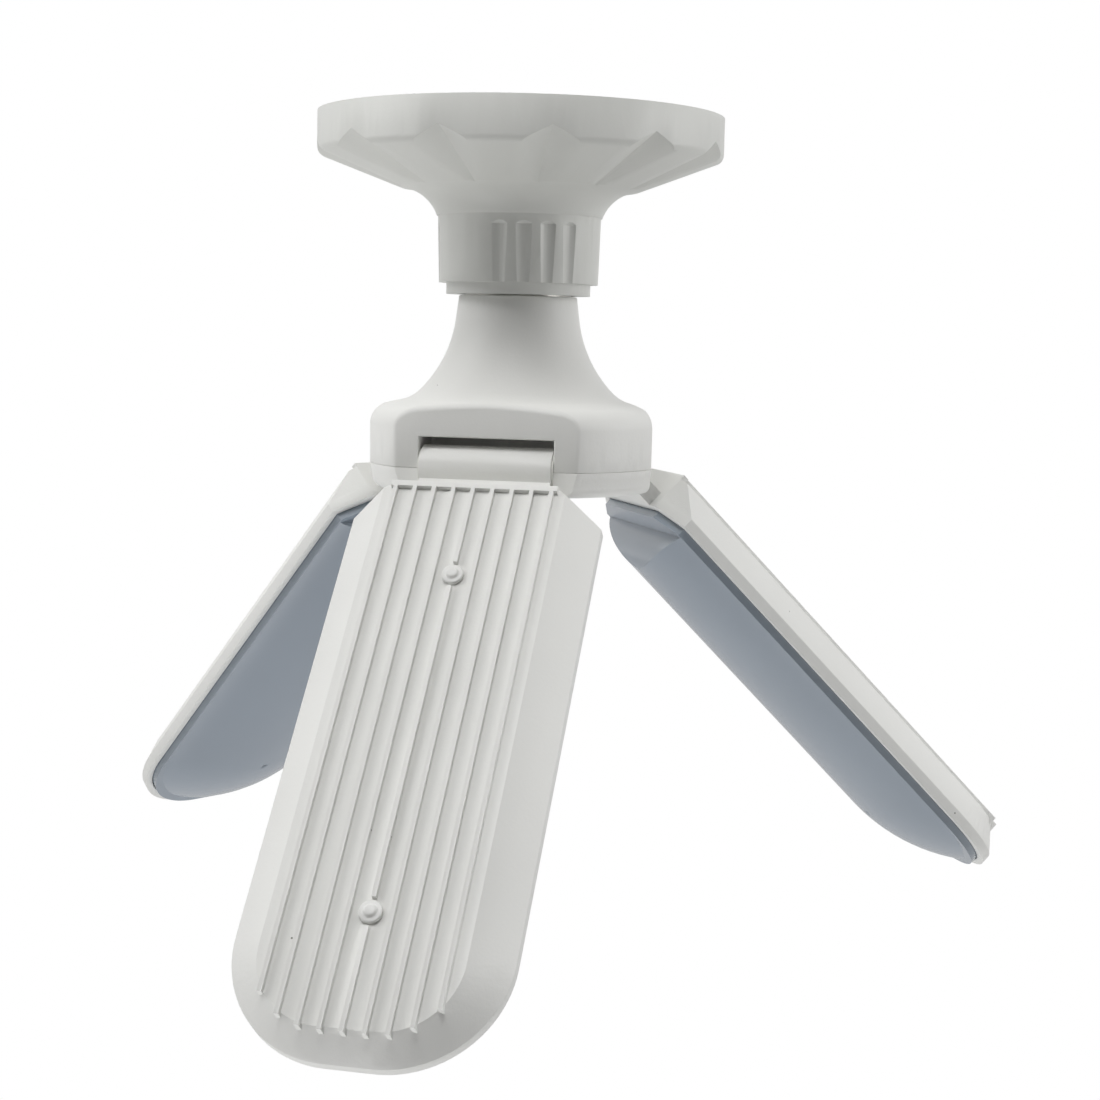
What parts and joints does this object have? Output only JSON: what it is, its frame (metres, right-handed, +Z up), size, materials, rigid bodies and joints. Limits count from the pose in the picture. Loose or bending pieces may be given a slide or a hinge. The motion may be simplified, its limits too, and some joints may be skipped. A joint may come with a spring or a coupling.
{
  "type": "ceiling light",
  "caption": "Round screw lampholder on a ceiling cover with a folding lamp whose ribbed leaves tilt on hinges round a hub, each with an opal diffuser.",
  "frame": {"origin": "middle of the face that lies on the ceiling", "axes": "+Z up into the ceiling, the light hangs along -Z; the first leaf points to -Y, the others are a third of a turn apart"},
  "size_m": [0.2429, 0.212, 0.1991],
  "materials": {
    "base_plastic": "matte",
    "holder_plastic": "satin",
    "lamp_plastic": "satin",
    "opal_diffuser": "gloss",
    "plated_steel": "satin",
    "nickel_sheet": "satin",
    "contact_brass": "satin",
    "insulator_black": "gloss",
    "circuit_board": "satin",
    "component_black": "satin",
    "washer_nylon": "matte",
    "rivet_white": "satin",
    "led_board_white": "satin",
    "led_yellow": "gloss"
  },
  "bodies": {
    "holder": {"ceiling_base": "base_plastic", "holder_cover": "holder_plastic", "socket_sleeve": "holder_plastic", "core_posts": "plated_steel", "thread_shell": "nickel_sheet", "centre_contact": "contact_brass", "terminals": "contact_brass", "terminal_screws": "plated_steel"},
    "lamp_contact": {"cap_contact": "contact_brass"},
    "lamp": {"neck_housing": "lamp_plastic", "hub_cover": "lamp_plastic", "cap_shell": "nickel_sheet", "cap_insulator": "insulator_black", "driver_board": "circuit_board", "driver_parts": "component_black", "hub_screws": "plated_steel", "hinge_bushes": "plated_steel", "friction_washers": "washer_nylon"},
    "leaf_1": {"leaf_1_housing": "lamp_plastic", "leaf_1_rivets": "rivet_white", "leaf_1_led_board": "led_board_white", "leaf_1_leds": "led_yellow", "leaf_1_diffuser": "opal_diffuser"},
    "leaf_2": {"leaf_2_housing": "lamp_plastic", "leaf_2_rivets": "rivet_white", "leaf_2_led_board": "led_board_white", "leaf_2_leds": "led_yellow", "leaf_2_diffuser": "opal_diffuser"},
    "leaf_3": {"leaf_3_housing": "lamp_plastic", "leaf_3_rivets": "rivet_white", "leaf_3_led_board": "led_board_white", "leaf_3_leds": "led_yellow", "leaf_3_diffuser": "opal_diffuser"}
  },
  "joints": [
    {"name": "lamp_travel", "type": "slide", "parent": "holder", "child": "lamp_contact", "axis": [0, 0, -1], "range_m": [0, 0.01816]},
    {"name": "lamp_unscrew", "type": "hinge", "parent": "lamp_contact", "child": "lamp", "pos_m": [0, 0, -0.04395], "axis": [0, 0, -1], "range_deg": [0, 1800]},
    {"name": "leaf_1_hinge", "type": "hinge", "parent": "lamp", "child": "leaf_1", "pos_m": [0, -0.0241, -0.08557], "axis": [-1, 0, 0], "range_deg": [-41.67, 48.33]},
    {"name": "leaf_2_hinge", "type": "hinge", "parent": "lamp", "child": "leaf_2", "pos_m": [0.02087, 0.01205, -0.08557], "axis": [0.5, -0.866, 0], "range_deg": [-44.9, 45.1]},
    {"name": "leaf_3_hinge", "type": "hinge", "parent": "lamp", "child": "leaf_3", "pos_m": [-0.02087, 0.01205, -0.08557], "axis": [0.5, 0.866, 0], "range_deg": [-44.89, 45.11]}
  ],
  "couplings": [
    {"joint": "lamp_travel", "follows": "lamp_unscrew", "m_per_rad": 0.00057757}
  ]
}
